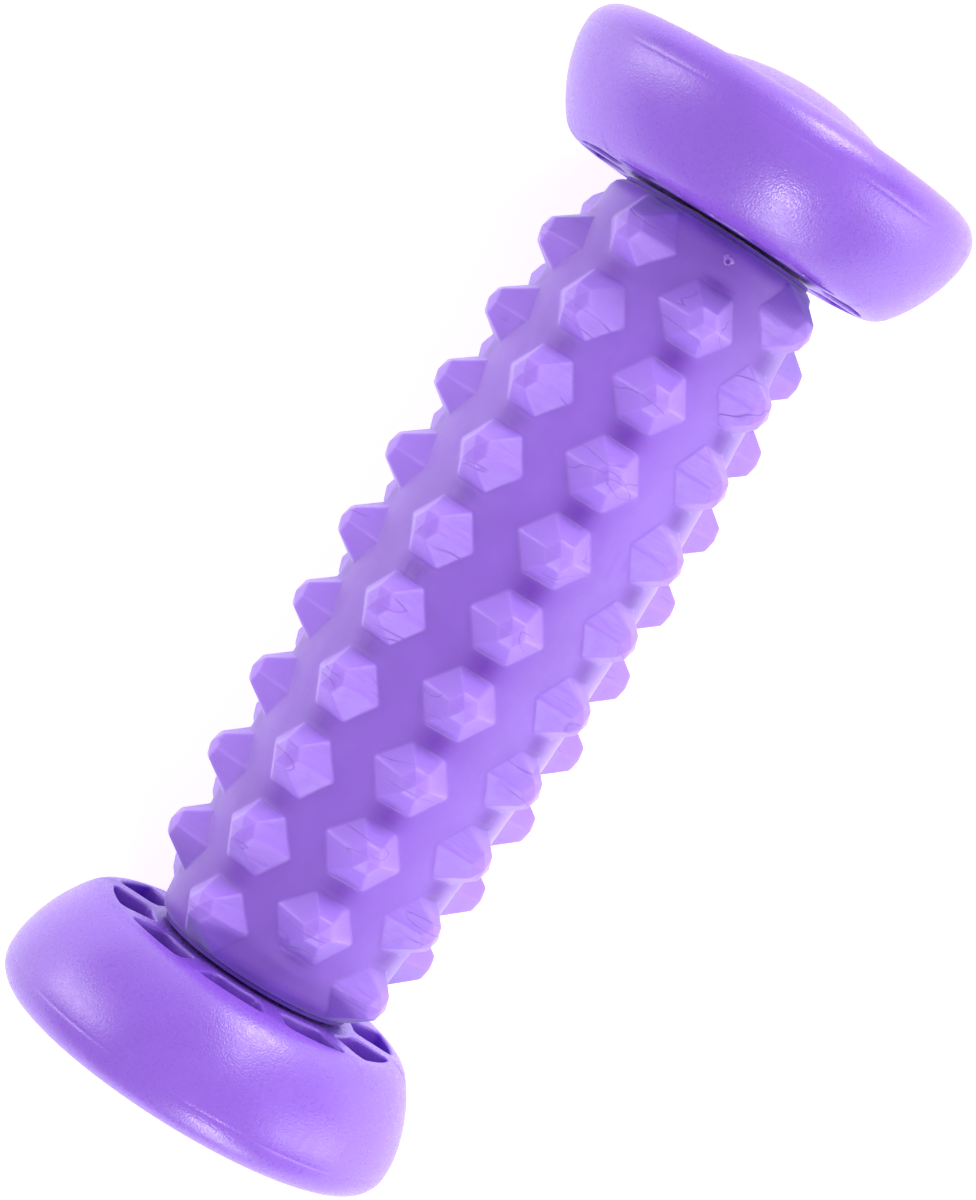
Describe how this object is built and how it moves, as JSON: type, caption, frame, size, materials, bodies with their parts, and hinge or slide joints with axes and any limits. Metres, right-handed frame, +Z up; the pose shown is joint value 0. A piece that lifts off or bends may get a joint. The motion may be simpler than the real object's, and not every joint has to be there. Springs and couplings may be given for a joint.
{
  "type": "foot massage roller",
  "caption": "Foot massage roller: a crowned barrel with a soft sleeve of hexagonal nubs that spins freely on an axle between two wide, round end caps with domed covers.",
  "frame": {"origin": "centre of the roller, on the axle midway between the end caps", "axes": "+Y along the axle towards the right end; +Z up with the roller lying on its two caps; +X across it"},
  "size_m": [0.07, 0.1898, 0.07],
  "materials": {
    "sleeve_gel": "satin, slightly translucent soft elastomer",
    "cap_plastic": "satin gloss over a fine spark-eroded grain",
    "cover_plastic": "satin gloss over a fine spark-eroded grain",
    "core_plastic": "moulded, matt",
    "bearing_plastic": "natural acetal",
    "axle_steel": "drawn bright bar",
    "plated_steel": "zinc plated"
  },
  "bodies": {
    "carriage": {"axle": "axle_steel", "thrust_washer_left": "bearing_plastic", "thrust_washer_right": "bearing_plastic", "end_cap_left": "cap_plastic", "end_cap_right": "cap_plastic", "hub_cover_left": "cover_plastic", "hub_cover_right": "cover_plastic", "plain_washer_left": "plated_steel", "plain_washer_right": "plated_steel", "spring_washer_left": "plated_steel", "spring_washer_right": "plated_steel", "cap_screw_left": "plated_steel", "cap_screw_right": "plated_steel"},
    "barrel": {"massage_sleeve": "sleeve_gel", "core_tube": "core_plastic", "core_plug_left": "core_plastic", "core_plug_right": "core_plastic", "bush_left": "bearing_plastic", "bush_right": "bearing_plastic"}
  },
  "joints": [
    {"name": "barrel_spin", "type": "hinge", "parent": "carriage", "child": "barrel", "pos_m": [0, 0, 0], "axis": [0, 1, 0], "continuous": true}
  ]
}
